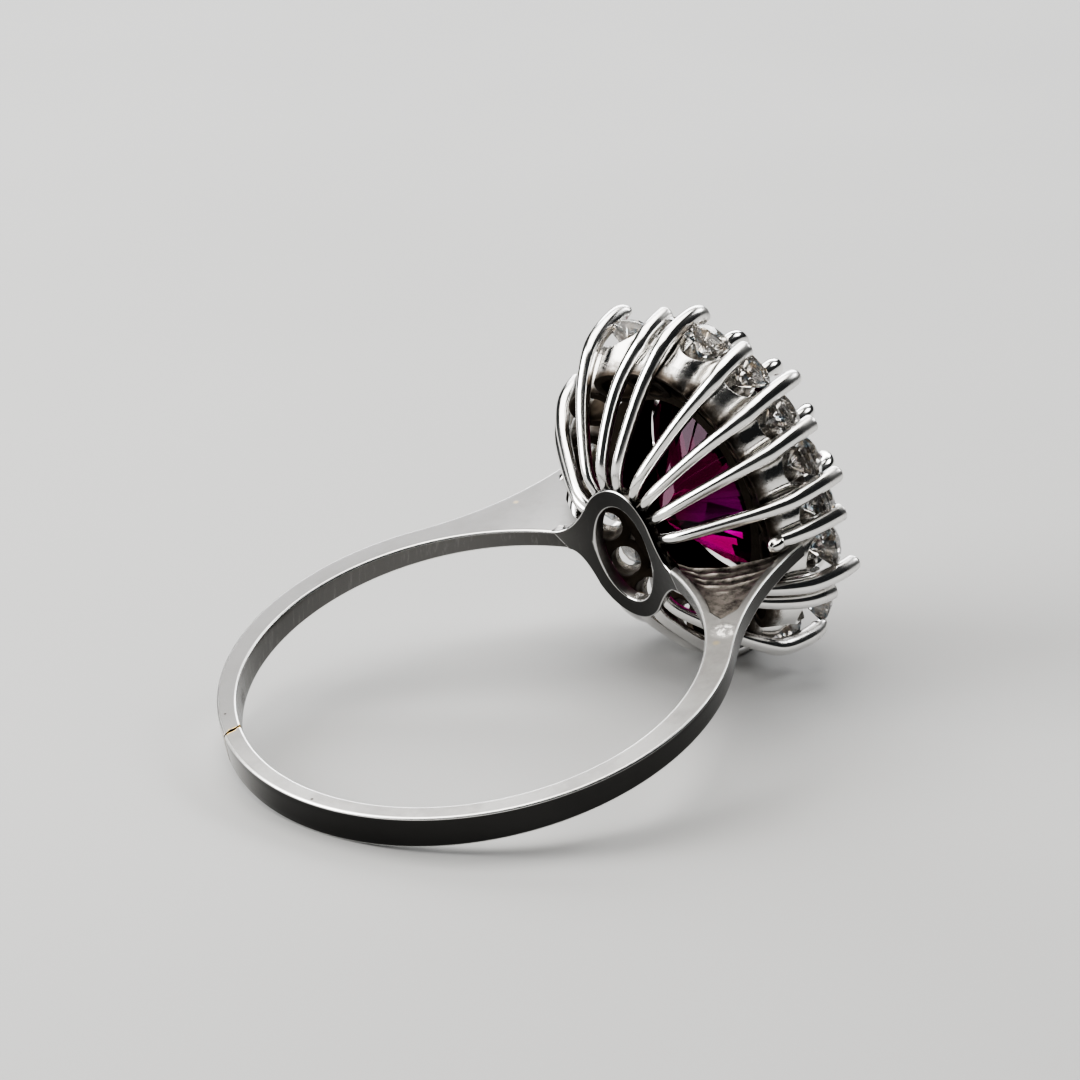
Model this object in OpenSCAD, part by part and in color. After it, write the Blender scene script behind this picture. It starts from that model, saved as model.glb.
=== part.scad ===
// Cluster ring in white metal: an oval ruby over a row of round diamonds, held by a basket of wire claws.
// The ring lies on its side, on the lower edge of its shank and the lower claws of its head.
// Each module is drawn in the ring's own axes: x runs from the finger's axis through the middle of
// the head, y across the head, z along the finger. The last step lays the ring down.

/* [Finger hole and shank] */
// Radius of the finger hole
finger_r = 8.5; // [8.2:0.05:8.8]
// Radius of the shank's outer face
shank_r = 9.42; // [9.3:0.02:9.5]
// How far the outer face is set toward the head, which thins the back
shank_shift = 0.25; // [0.15:0.05:0.3]
// Half of the band's width where it passes the finger's axis
band_half = 0.5; // [0.45:0.01:0.6]
// How much that half width shrinks for each millimetre toward the head
band_taper = 0.0175; // [0.01:0.0005:0.02]

/* [Shoulders] */
// Radius of the hollow curve on each shoulder's outside
shoulder_arc_r = 12.2; // [12:0.1:12.4]
// Distance from the finger's axis to the blunt end of each shoulder
shoulder_end = 11.9; // [11.7:0.05:12]
// Width of the two strips that run along a forked shoulder
strip_w = 0.38; // [0.3:0.02:0.45]
// Height of the floor between the strips, over the middle of the band
fork_floor = 0; // [-0.1:0.02:0.1]

/* [Gallery plate] */
// Thickness of the plate under the head
plate_t = 0.5; // [0.4:0.05:0.6]
// Half width of the plate
plate_half_y = 1.95; // [1.85:0.05:2.1]
// Half length of the plate along the finger
plate_half_z = 2.8; // [2.7:0.05:2.9]
// Half width of the pierced oval
hole_half_y = 1.35; // [1.2:0.05:1.4]
// Half length of the pierced oval
hole_half_z = 2.05; // [1.9:0.05:2.1]
// How far across the head the plate's corners run out along the plain side of a shoulder
flare_plain = 3.15; // [3:0.05:3.3]
// How far they run out along its forked side
flare_forked = 2.6; // [2.5:0.05:2.8]

/* [Head] */
// How far the whole head is set toward the upper side of the band
head_shift = 0.35; // [0.25:0.05:0.35]

/* [Diamonds] */
// Diameter of each diamond
diamond_d = 1.84; // [1.7:0.02:1.86]
// Distance from the finger's axis to the diamonds' girdles
diamond_x = 13.6; // [13.5:0.05:13.7]
// Half width of the oval on which the diamonds stand
diamond_half_y = 5.6; // [5.55:0.05:5.7]
// Half length of that oval
diamond_half_z = 6.9; // [6.8:0.05:6.95]
// How far each diamond leans outward, in degrees
diamond_lean = 32; // [30:1:34]
// Outer radius of the collet under each diamond
collet_r = 0.95; // [0.9:0.01:1]
// Radius of the hole through that collet
collet_bore_r = 0.6; // [0.5:0.05:0.65]
// Height of that collet
collet_h = 2; // [1.9:0.05:2.05]
// Distance from the collet's rim up to the girdle
collet_drop = 0.45; // [0.4:0.01:0.5]
// Depth to which the rim is hollowed on its outer side, to show the stone
scallop_depth = 0.75; // [0.65:0.05:0.8]

/* [Ruby] */
// Half width of the ruby
ruby_half_y = 3.95; // [3.8:0.05:4]
// Half length of the ruby
ruby_half_z = 5.1; // [5:0.05:5.2]
// Distance from the finger's axis to the ruby's girdle
ruby_x = 14.85; // [14.7:0.05:15]
// Depth of the ruby under its girdle
ruby_pavilion = 4.2; // [4:0.1:4.4]
// Height of the ruby over its girdle
ruby_crown = 1.7; // [1.5:0.1:1.9]

/* [Rest] */
// How far the head is tipped up off the table where the ring lies, in degrees
rest_tilt = 16.01; // [15.5:0.01:17]
// How far the ring rolls toward its near side to sit on two lower claws, in degrees
rest_roll = 2.24; // [0:0.01:5]

/* [Hidden] */
DIAMONDS = ["diamond_01", "diamond_02", "diamond_03", "diamond_04", "diamond_05",
    "diamond_06", "diamond_07", "diamond_08", "diamond_09", "diamond_10",
    "diamond_11", "diamond_12", "diamond_13", "diamond_14", "diamond_15",
    "diamond_16", "diamond_17", "diamond_18"];
// The head is the same after half a turn about its axis, so each table lists one half of it.
HALF_TURNS = [0, 180];
// Outer claws. Columns: angle at the plate, angle at the tip, the stations where the wire starts and
// ends, and how far the tip is pressed in. One claw of each half starts on the shoulder's end.
CLAWS = [[67, 82, 0, 4.7, 0.8], [88.5, 92.2, 0, 5.6, 0.8], [111, 118, 0, 4.7, 0.1], [126, 134, 0, 5.5, 0.1],
    [142.5, 148, 0, 4.8, 0.1], [162, 165.2, 0, 5, 0.2], [179, 176, 3, 4.7, 0], [198.5, 196.5, 0, 5.2, 0.1],
    [206.5, 203, 0, 4.5, 0.1], [229, 232.7, 0, 5.5, 0.2]];
// The wire of an outer claw. Columns: distance along the head's axis, half width and half length
// of the oval that all claws pass through, radius of the wire
CLAW_STATIONS = [[8.8, 1.8, 2.38, 0.2], [9, 2.67, 3.4, 0.23], [10.25, 4.38, 5.17, 0.25],
    [11.3, 5.45, 6.42, 0.28], [12.4, 6.08, 7.33, 0.31], [14.1, 6.42, 7.65, 0.29], [14.4, 5.9, 7.06, 0.24]];
// The diamonds. Columns: angle on their oval, and how far inside it the stone is set
DIAMOND_SPOTS = [[83.2, 0.4], [103.6, 0.15], [123.5, 0], [141, 0], [157.4, 0], [173.4, 0], [189.4, 0],
    [214, 0], [239, 0.3]];
// Inner claws. Column: angle on the ruby's oval
INNER_CLAWS = [98, 122, 147, 171, 197, 224, 251];
// The wire of an inner claw. Columns: height over the ruby's girdle, distance outside it, radius
INNER_STATIONS = [[-2.4, -0.55, 0.26], [-1.3, 0.02, 0.26], [-0.1, 0.34, 0.28],
    [0.6, 0.32, 0.3], [0.98, -0.03, 0.28], [1.04, -0.4, 0.24]];
// The ruby's collet. Columns: height over the ruby's girdle, distance of its outer face from the girdle
RUBY_COLLET = [[-2.9, -0.3], [-0.75, -0.2]];
ruby_collet_wall = 0.42;
claw_sides = 6;
collet_sides = 12;
round_sides = 180;
oval_sides = 40;
// Share of a claw's length over which it turns from its angle at the plate to its angle at the tip
claw_turn_share = 0.6;
// Where along an outer claw its rings of points are, closer together where it bends at the tip
WIRE_SHARES = [0, 0.17, 0.33, 0.5, 0.66, 0.76, 0.84, 0.92, 1];
INNER_STEPS = [0, 1, 2, 3, 3.5, 4, 5];
// Space between a stone and the metal cut back round it
stone_gap = 0.04;
scallop_r = 0.9;
// Proportions of the stones: height of the crown and of the pavilion and the girdle's thickness in
// millimetres, and the table's share of the width
DIAMOND_CUT = [0.17 * diamond_d, 0.48 * diamond_d, 0.06, 0.55];
RUBY_CUT = [ruby_crown, ruby_pavilion, 0.12, 0.58];
// Where across the head the plate's corners leave its oval, and half of their width at the run-out
flare_start = 1.5;
flare_tip = 0.36;
flare_steps = 5;
// Half of the depth of the slabs that are cut to the band's sides
slab = 1;
cut_depth = 4;
// How far the shoulder's curve cuts into the shank's curve, so that the two cross
arc_bite = 0.03;
head_reach = 30;
arc_x = 12.2;
arc_y = sqrt(pow(shank_r + shoulder_arc_r - arc_bite, 2) - pow(arc_x - shank_shift, 2));
shoulder_start = shank_shift + shank_r * (arc_x - shank_shift) / (shank_r + shoulder_arc_r);
// The side of a shoulder that faces the head follows the claws from the plate to the shoulder's end
SHOULDER_INNER = [[shoulder_end, -5.3], [11.1, -5.05], [9.85, -4.1], [9.1, -3], [8.92, -1.2], [8, -1.2]];
// Outline of the space between the strips, from beside the shank round past the shoulder's end
FORK = [[6.95, -5.35], [6.8, -6.2], [7.4, -6.3], [9, -8], [13, -8], [13, -2], [9.5, -1]];
// The table's upward direction, in the ring's own axes
up = [sin(rest_tilt) * cos(rest_roll), sin(rest_roll), cos(rest_tilt) * cos(rest_roll)];
// Height of the finger hole's centre when the lower edge of the shank touches the table
edge_slope = up[0] + band_taper * up[2];
rest_lift = shank_r * norm([edge_slope, up[1]]) - shank_shift * edge_slope + band_half * up[2];
// Middle of the laid ring's length, from the finger's axis
rest_middle = 3.815;

// Half of the band's width at a distance x toward the head
function band_half_at(x) = band_half - band_taper * x;

// A row of a table, with the first and last rows repeated past its ends
function row(table, i) = table[max(0, min(len(table) - 1, i))];

// A smooth curve through the rows of a table, at t rows from the first
function between(table, t) =
    let (i = floor(t), f = t - i,
        a = row(table, i - 1), b = row(table, i), c = row(table, i + 1), d = row(table, i + 2))
    0.5 * (2 * b + (c - a) * f + (2 * a - 5 * b + 4 * c - d) * f * f + (3 * b - a - 3 * c + d) * f * f * f);

function unit(v) = v / norm(v);

// Points of an oval in the y and z axes, as seen along the head's axis
function oval(half_y, half_z, n) = [for (i = [0:n - 1]) [half_y * cos(i * 360 / n), half_z * sin(i * 360 / n)]];

// Place of an outer claw's wire and its radius, at t stations from the plate
function claw_point(claw, t) =
    let (s = between(CLAW_STATIONS, t), share = min(1, t / (len(CLAW_STATIONS) - 1) / claw_turn_share),
        angle = claw[0] + (claw[1] - claw[0]) * share,
        pressed = claw[4] * pow(t / (len(CLAW_STATIONS) - 1), 2))
    [s[0], (s[1] - pressed) * cos(angle), (s[2] - pressed) * sin(angle), s[3]];

// Place of an inner claw's wire and its radius, at t stations from its foot
function inner_point(angle, t) =
    let (s = between(INNER_STATIONS, t))
    [ruby_x + s[0], (ruby_half_y + s[1]) * cos(angle), (ruby_half_z + s[1]) * sin(angle), s[2]];

// A wire through rows of x, y, z and radius, with flat ends
module wire(path) {
    last = len(path) - 1;
    function place(i) = [path[i][0], path[i][1], path[i][2]];
    function ring_of(i) =
        let (along = unit(place(min(last, i + 1)) - place(max(0, i - 1))),
            side = unit(cross([1, 0, 0], [0, path[i][1], path[i][2]])), out = unit(cross(side, along)))
        [for (k = [0:claw_sides - 1]) let (a = k * 360 / claw_sides)
            place(i) + path[i][3] * (cos(a) * side + sin(a) * out)];
    polyhedron(
        points = [for (i = [0:last]) each ring_of(i)],
        faces = concat(
            [[for (k = [claw_sides - 1:-1:0]) k]],
            [[for (k = [0:claw_sides - 1]) last * claw_sides + k]],
            [for (i = [0:last - 1], k = [0:claw_sides - 1])
                let (a = i * claw_sides, m = (k + 1) % claw_sides)
                [a + k, a + m, a + claw_sides + m, a + claw_sides + k]]),
        convexity = 4);
}

// A brilliant cut stone with its axis along z and its girdle at z = 0, or with a gap the space for it.
// Its table, eight crown mains, star and girdle facets and eight pavilion mains are plane.
module gem(half_x, half_y, cut, gap) {
    crown = cut[0] + gap;
    pavilion = cut[1] + gap;
    girdle = cut[2];
    table_share = cut[3];
    star_r = (table_share + 1) / 2;
    lower_r = 0.26;
    crown_slope = (crown - girdle / 2) / (1 - table_share);
    pavilion_slope = pavilion - girdle / 2;
    star_h = crown - crown_slope * (star_r * cos(22.5) - table_share);
    lower_h = -girdle / 2 - pavilion_slope * (1 - lower_r * cos(22.5));
    function at(r, a, h) = [(half_x + gap) * r * cos(a), (half_y + gap) * r * sin(a), h];
    polyhedron(
        points = concat(
            [for (i = [0:7]) at(table_share, i * 45, crown)],
            [for (i = [0:7]) at(star_r, i * 45 + 22.5, star_h)],
            [for (i = [0:15]) at(1, i * 22.5, girdle / 2)],
            [for (i = [0:15]) at(1, i * 22.5, -girdle / 2)],
            [for (i = [0:7]) at(lower_r, i * 45 + 22.5, lower_h)],
            [[0, 0, -pavilion]]),
        faces = concat(
            [[for (i = [7:-1:0]) i]],
            [for (i = [0:7]) let (j = (i + 1) % 8) each [
                [i, j, 8 + i],
                [i, 8 + i, 16 + 2 * i], [j, 16 + 2 * j, 8 + i],
                [8 + i, 17 + 2 * i, 16 + 2 * i], [8 + i, 16 + 2 * j, 17 + 2 * i],
                [32 + 2 * i, 33 + 2 * i, 48 + i], [33 + 2 * i, 32 + 2 * j, 48 + i],
                [32 + 2 * i, 48 + i, 56], [48 + i, 32 + 2 * j, 56]]],
            [for (i = [0:15]) let (j = (i + 1) % 16) [16 + i, 16 + j, 32 + j, 32 + i]]),
        convexity = 2);
}

// Places a child on the head, after a turn about the head's axis
module on_head(turn) translate([0, 0, head_shift]) rotate([turn, 0, 0]) children();

// Turns a shape drawn up z into one drawn along the head's axis, with its own x across the head
module along_head() multmatrix([[0, 0, 1, 0], [1, 0, 0, 0], [0, 1, 0, 0], [0, 0, 0, 1]]) children();

// Stands a child on one of the diamonds' spots, leaning outward
module on_oval(spot) {
    across = diamond_half_y - spot[1];
    along = diamond_half_z - spot[1];
    heading = atan2(sin(spot[0]) / along, cos(spot[0]) / across);
    translate([diamond_x, across * cos(spot[0]), along * sin(spot[0])])
        rotate([heading, 0, 0]) rotate([0, 0, diamond_lean]) along_head() children();
}

// The space between the band's two flat sides, which near each other toward the head
module between_sides() {
    far = head_reach / 2;
    rotate([90, 0, 0]) translate([0, 0, -far]) linear_extrude(head_reach)
        polygon([[-far, -band_half_at(-far)], [far, -band_half_at(far)], [far, band_half_at(far)],
            [-far, band_half_at(-far)]]);
}

module shank() {
    intersection() {
        translate([shank_shift, 0, -slab]) cylinder(r = shank_r, h = 2 * slab, $fn = round_sides);
        between_sides();
    }
}

// Round cutters about the finger's axis and about the middle of a shoulder's outer curve
module finger_side(r) translate([0, 0, -cut_depth]) cylinder(r = r, h = 2 * cut_depth, $fn = round_sides);
module arc_side(r) translate([arc_x, -arc_y, -cut_depth]) cylinder(r = r, h = 2 * cut_depth, $fn = round_sides);

// One shoulder: a web between the shank's curve, the finger hole and the head, with a fork cut
// into its upper side
module shoulder() {
    difference() {
        intersection() {
            translate([0, 0, -slab]) linear_extrude(2 * slab)
                polygon(concat([[shoulder_start, -5], [shoulder_start, -shank_r], [shoulder_end, -shank_r]],
                    SHOULDER_INNER));
            between_sides();
        }
        arc_side(shoulder_arc_r);
        difference() {
            translate([0, 0, fork_floor]) linear_extrude(slab) polygon(FORK);
            finger_side(finger_r + strip_w);
            arc_side(shoulder_arc_r + strip_w);
        }
    }
}

// A quarter of the plate's outline: from the end of its oval to the point where a hollow corner runs
// out on a shoulder, with a sign for each axis
function plate_quarter(end, side_y, side_z) =
    let (turn = asin(flare_start / plate_half_y), steep = plate_half_z * cos(turn) - flare_tip)
    [for (i = [0:2 * flare_steps])
        let (a = turn * i / flare_steps, f = i / flare_steps - 1, y = flare_start + (end - flare_start) * f)
        i <= flare_steps
            ? [side_y * plate_half_y * sin(a), side_z * plate_half_z * cos(a)]
            : [side_y * y, side_z * (flare_tip + steep * pow(1 - f, 2))]];

function backward(list) = [for (i = [len(list) - 1:-1:1]) list[i]];

// The plate bent on the finger hole's curve: an oval whose corners run out along the shoulders
module plate() {
    intersection() {
        finger_side(finger_r + plate_t);
        along_head() linear_extrude(head_reach) polygon(concat(
            backward(plate_quarter(flare_forked, -1, 1)), plate_quarter(flare_plain, 1, 1),
            backward(plate_quarter(flare_forked, 1, -1)), plate_quarter(flare_plain, -1, -1)));
    }
}

// The collet of one diamond: a short tube under its girdle, with its rim hollowed on the outer side
module collet() {
    difference() {
        translate([0, 0, -collet_drop - collet_h]) cylinder(r = collet_r, h = collet_h, $fn = collet_sides);
        translate([0, 0, -collet_drop - 2 * collet_h])
            cylinder(r = collet_bore_r, h = 3 * collet_h, $fn = collet_sides);
        translate([0, 0, -collet_drop - scallop_depth + scallop_r]) rotate([0, 90, 0])
            cylinder(r = scallop_r, h = 2 * collet_r, $fn = collet_sides);
    }
}

// The ruby's oval collet: a tapered band under its girdle
module ruby_collet() {
    n = oval_sides;
    low = RUBY_COLLET[0];
    high = RUBY_COLLET[1];
    function band_ring(h, d) = [for (p = oval(ruby_half_y + d, ruby_half_z + d, n)) [ruby_x + h, p[0], p[1]]];
    polyhedron(
        points = concat(band_ring(low[0], low[1]), band_ring(high[0], high[1]),
            band_ring(high[0], high[1] - ruby_collet_wall), band_ring(low[0], low[1] - ruby_collet_wall)),
        faces = [for (r = [0:3], i = [0:n - 1])
            let (a = r * n, b = (r + 1) % 4 * n, j = (i + 1) % n) [b + i, b + j, a + j, a + i]],
        convexity = 4);
}

// A diamond, or with a gap the space that it needs
module diamond_cut(gap) {
    gem(diamond_d / 2, diamond_d / 2, DIAMOND_CUT, gap);
}

// The ruby, or with a gap the space that it needs
module ruby_cut(gap) {
    gem(ruby_half_y, ruby_half_z, RUBY_CUT, gap);
}

// The basket before the seats are cut: outer claws, diamond collets, the ruby's collet and its inner claws
module basket() {
    for (turn = HALF_TURNS) on_head(turn) {
        for (claw = CLAWS)
            wire([for (share = WIRE_SHARES) claw_point(claw, claw[2] + (claw[3] - claw[2]) * share)]);
        for (angle = INNER_CLAWS)
            wire([for (t = INNER_STEPS) inner_point(angle, t)]);
        for (spot = DIAMOND_SPOTS) on_oval(spot) collet();
    }
    on_head(0) ruby_collet();
}

// The space of every stone
module seats() {
    for (turn = HALF_TURNS, spot = DIAMOND_SPOTS)
        on_head(turn) on_oval(spot) diamond_cut(stone_gap);
    on_head(0) translate([ruby_x, 0, 0]) along_head() ruby_cut(stone_gap);
}

// Lays the ring on its side
module laid_down() {
    translate([-rest_middle, 0, rest_lift]) rotate([rest_roll, 0, 0]) rotate([0, -rest_tilt, 0]) children();
}

// All the soldered metal
module ring_mount() {
    color("gainsboro") laid_down() union() {
        difference() {
            union() {
                shank();
                for (turn = HALF_TURNS) rotate([turn, 0, 0]) shoulder();
                plate();
            }
            finger_side(finger_r);
            along_head() linear_extrude(head_reach) polygon(oval(hole_half_y, hole_half_z, oval_sides));
        }
        resize([0, 0, 0]) difference() {
            basket();
            seats();
        }
    }
}

module ruby() {
    color("crimson") laid_down() on_head(0) translate([ruby_x, 0, 0]) along_head() ruby_cut(0);
}

// One diamond, by its number in the row
module diamond(i) {
    half = len(DIAMOND_SPOTS);
    color("lightcyan") laid_down() on_head(HALF_TURNS[floor(i / half)])
        on_oval(DIAMOND_SPOTS[i % half]) diamond_cut(0);
}

ring_mount();
ruby();
for (i = [0:len(DIAMONDS) - 1]) diamond(i);
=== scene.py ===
import bpy
import numpy as np
from mathutils import Euler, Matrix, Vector


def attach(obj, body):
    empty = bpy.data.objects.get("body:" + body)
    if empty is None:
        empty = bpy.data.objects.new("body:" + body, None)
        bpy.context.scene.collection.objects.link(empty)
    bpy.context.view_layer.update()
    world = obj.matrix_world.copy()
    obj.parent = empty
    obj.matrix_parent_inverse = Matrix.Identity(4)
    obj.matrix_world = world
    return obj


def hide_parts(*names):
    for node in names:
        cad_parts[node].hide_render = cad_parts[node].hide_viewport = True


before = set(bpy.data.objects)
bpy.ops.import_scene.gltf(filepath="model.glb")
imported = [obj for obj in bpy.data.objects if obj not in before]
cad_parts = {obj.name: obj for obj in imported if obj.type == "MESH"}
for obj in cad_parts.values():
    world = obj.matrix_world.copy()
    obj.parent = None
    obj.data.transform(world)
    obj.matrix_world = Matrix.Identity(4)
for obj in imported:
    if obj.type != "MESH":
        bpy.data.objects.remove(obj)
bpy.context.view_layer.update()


# The band: a thin white metal hoop that forks into two concave shoulders. It was cast or forged in
# one, filed to shape and polished on its curved faces, and its flat sides were left satin. Sizes are
# in millimetres: x from the finger's axis toward the head, y across the head, z along the finger.
finger_r, shank_r, shank_shift = 8.5, 9.42, 0.25
band_half, band_taper = 0.5, 0.0175
shoulder_arc_r, shoulder_end = 12.2, 11.9
arc_x = 12.2
arc_y = np.sqrt((shank_r + shoulder_arc_r) ** 2 - (arc_x - shank_shift) ** 2)
web_foot_y = 1.65
head_side = [(8.9, -1.65), (9.1, -3), (9.85, -4.1), (11.1, -5.05), (shoulder_end, -5.3)]
rest_tilt, rest_roll, rest_middle = np.radians(16.01), np.radians(2.24), 3.815
shank_share, shank_steps, shoulder_steps = 0.55, 150, 130
edge_round, edge_steps, face_rows = 0.1, 5, 2
polished_rows, highlight_rows = 4, (3, 6)
fork_start, start_slope = [(6.95, -5.35), (6.8, -6.2), (7.4, -6.3)], 0.5
fork_strip, fork_wall, fork_floor = 0.38, 0.1, 0.04
fork_dip, dip_reach = 0.1, 0.5
plain_share, widest_share, share_steps = 0.36, 0.46, 400
file_depth, file_cuts, file_start, file_fade = 0.06, 13, 0.66, 0.1
band_marks = ("satin", "scooped", "hole_side", "edge")
seam_middle, seam_across = (-7.47, 4.74, 0), (0.1, 1, 0)
first_pit, second_pit = ((-8.94, -0.76, 0.66), 0.07), ((-6.9, 5.69, 0.62), 0.06)
first_stain, second_stain = ((8.78, 5.71, 0.35), 0.16), ((5.42, -7.1, 0.4), 0.2)
nick_middle, solder_middle = (-5.14, 6.77, -0.2), (6.15, -6.85, 0.39)


def laid(points):
    """Ring millimetres to the laid ring's metres: a tilt about y, a roll about x, then a shift that
    sets the lowest edge of the shank on the table."""
    st, ct, sr, cr = np.sin(rest_tilt), np.cos(rest_tilt), np.sin(rest_roll), np.cos(rest_roll)
    slope = st * cr + band_taper * ct * cr
    lift = shank_r * np.hypot(slope, sr) - shank_shift * slope + band_half * ct * cr
    x, y, z = np.moveaxis(np.asarray(points, float), -1, 0)
    tall = st * x + ct * z
    out = np.stack([ct * x - st * z - rest_middle, cr * y - sr * tall, sr * y + cr * tall + lift], -1)
    return out * 0.001


def grid_faces(rows, columns, wrap_rows=False, wrap_columns=False):
    """Corner numbers of the two triangles of each cell in a grid of points, closed round on request."""
    number = np.arange(rows * columns).reshape(rows, columns)
    if wrap_rows:
        number = np.concatenate([number, number[:1]], 0)
    if wrap_columns:
        number = np.concatenate([number, number[:, :1]], 1)
    a, b = number[:-1, :-1].ravel(), number[:-1, 1:].ravel()
    c, d = number[1:, 1:].ravel(), number[1:, :-1].ravel()
    return np.concatenate([np.stack([a, b, c], -1), np.stack([a, c, d], -1)])


def mark_sharp_edges(mesh, normal, degrees):
    """An edge is sharp where its two triangles turn by more than the given angle."""
    edge_of = np.empty(len(mesh.polygons) * 3, np.int32)
    mesh.loops.foreach_get("edge_index", edge_of)
    order = np.argsort(edge_of, kind="stable")
    edge, face = edge_of[order], order // 3
    pair = np.flatnonzero(edge[1:] == edge[:-1])
    turn = (normal[face[pair]] * normal[face[pair + 1]]).sum(-1)
    sharp = np.zeros(len(mesh.edges), bool)
    sharp[edge[pair][turn < np.cos(np.radians(degrees))]] = True
    layer = mesh.attributes.new("sharp_edge", "BOOLEAN", "EDGE")
    layer.data.foreach_set("value", sharp)


def metal_piece(name, grids, marks, material, sharp=50.0):
    """A mesh from several grids of ring points. Points that coincide become one, triangles without
    area are dropped, and each mark is a number per point that the material reads by its name."""
    points = np.concatenate([g.reshape(-1, 3) for g, _, _ in grids])
    starts = np.cumsum([0] + [g.shape[0] * g.shape[1] for g, _, _ in grids])
    faces = np.concatenate([
        grid_faces(g.shape[0], g.shape[1], wrap_rows, wrap_columns) + start
        for (g, wrap_rows, wrap_columns), start in zip(grids, starts)])
    first, merged = np.unique(np.round(points, 5), axis=0, return_index=True, return_inverse=True)[1:]
    faces = merged.ravel()[faces]
    a, b, c = faces.T
    faces = faces[(a != b) & (b != c) & (c != a)]
    corners = laid(points[first])
    mesh = bpy.data.meshes.new(name)
    mesh.from_pydata(corners.tolist(), [], faces.tolist())
    for title, values in marks.items():
        numbers = np.concatenate([v.ravel() for v in values])[first]
        layer = mesh.attributes.new(title, "FLOAT", "POINT")
        layer.data.foreach_set("value", numbers.astype(np.float32))
    mesh.polygons.foreach_set("use_smooth", np.ones(len(mesh.polygons), bool))
    p, q, r = (corners[faces[:, i]] for i in range(3))
    normal = np.cross(q - p, r - p)
    normal /= np.linalg.norm(normal, axis=1, keepdims=True) + 1e-30
    mark_sharp_edges(mesh, normal, sharp)
    mesh.materials.append(material)
    obj = bpy.data.objects.new(name, mesh)
    bpy.context.scene.collection.objects.link(obj)
    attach(obj, "root")
    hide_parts("ring_mount")


class Value:
    """One socket of a material's nodes. Plus, minus, times, divide and power on it add Math nodes."""

    def __init__(self, tree, socket):
        self.tree = tree
        self.socket = socket

    def node(self, kind, settings, sockets, out=0):
        """Any other node: its type, its settings, then its sockets by name or number."""
        made = self.tree.nodes.new(kind)
        for name, setting in settings.items():
            if name == "stops":
                for i, (place, colour) in enumerate(setting):
                    stop = made.color_ramp.elements[i] if i < 2 else made.color_ramp.elements.new(place)
                    stop.position = place
                    stop.color = colour
            else:
                setattr(made, name, setting)
        for key, value in sockets.items():
            if isinstance(value, Value):
                self.tree.links.new(value.socket, made.inputs[key])
            else:
                made.inputs[key].default_value = value
        return Value(self.tree, made.outputs[out])

    def math(self, operation, first, second):
        """A Math node on two numbers or Values."""
        return self.node("ShaderNodeMath", {"operation": operation}, {0: first, 1: second})

    def __add__(self, other):
        return self.math("ADD", self, other)

    def __radd__(self, other):
        return self.math("ADD", other, self)

    def __sub__(self, other):
        return self.math("SUBTRACT", self, other)

    def __rsub__(self, other):
        return self.math("SUBTRACT", other, self)

    def __mul__(self, other):
        return self.math("MULTIPLY", self, other)

    def __rmul__(self, other):
        return self.math("MULTIPLY", other, self)

    def __truediv__(self, other):
        return self.math("DIVIDE", self, other)

    def __pow__(self, other):
        return self.math("POWER", self, other)


def new_material(name):
    """A material with a plain shader, its shader, and the object's own place as a Value."""
    material = bpy.data.materials.new(name)
    material.use_nodes = True
    tree = material.node_tree
    shader = tree.nodes["Principled BSDF"]
    place = Value(tree, tree.nodes.new("ShaderNodeTexCoord").outputs["Object"])
    return material, shader, place


def join(value, socket):
    """Links a Value to one of the shader's sockets."""
    value.tree.links.new(value.socket, socket)


def between(place, low, high, value, out_low=0.0, out_high=1.0):
    """The value's rise from low to high as a smooth step between two outputs."""
    return place.node("ShaderNodeMapRange", {"interpolation_type": "SMOOTHSTEP"},
                      {0: value, 1: low, 2: high, 3: out_low, 4: out_high})


def blend(place, factor, first, second):
    """A mix of two colours, each a plain colour or a Value."""
    return place.node("ShaderNodeMix", {"data_type": "RGBA"}, {0: factor, 6: first, 7: second}, out=2)


def noise(place, scale, detail=3.0, rough=0.5, stretch=(1, 1, 1)):
    """Cloudy noise, with its scale per metre and an optional stretch of the place that it reads."""
    where = place.node("ShaderNodeVectorMath", {"operation": "MULTIPLY"}, {0: place, 1: stretch})
    return where.node("ShaderNodeTexNoise", {}, {"Vector": where, "Scale": scale, "Detail": detail,
                                                "Roughness": rough})


def mark(place, title):
    """One of the numbers that a mesh holds for each of its points."""
    return place.node("ShaderNodeAttribute", {"attribute_name": title}, {}, out=2)


def spot(place, middle, radius, soft=0.5):
    """One within a radius of a ring point, in millimetres, fading out over the soft share of it."""
    away = place.node("ShaderNodeVectorMath", {"operation": "DISTANCE"},
                      {0: place, 1: tuple(laid(middle))}, out=1)
    return between(place, radius * 0.001, radius * (1 - soft) * 0.001, away)


def from_plane(place, middle, across):
    """Signed distance in millimetres from a plane through a ring point, square to a direction."""
    square = laid(np.add(middle, across)) - laid(middle)
    square /= np.linalg.norm(square)
    along = place.node("ShaderNodeVectorMath", {"operation": "DOT_PRODUCT"},
                       {0: place, 1: tuple(square)}, out=1)
    return (along - float(square @ laid(middle))) * 1000


def metal_bump(place, height, strength, depth, shader):
    """Fine relief on a metal's surface, its depth in metres, from a Value of heights."""
    bump = place.node("ShaderNodeBump", {}, {"Strength": strength, "Distance": depth, "Height": height})
    join(bump, shader.inputs["Normal"])


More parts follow.
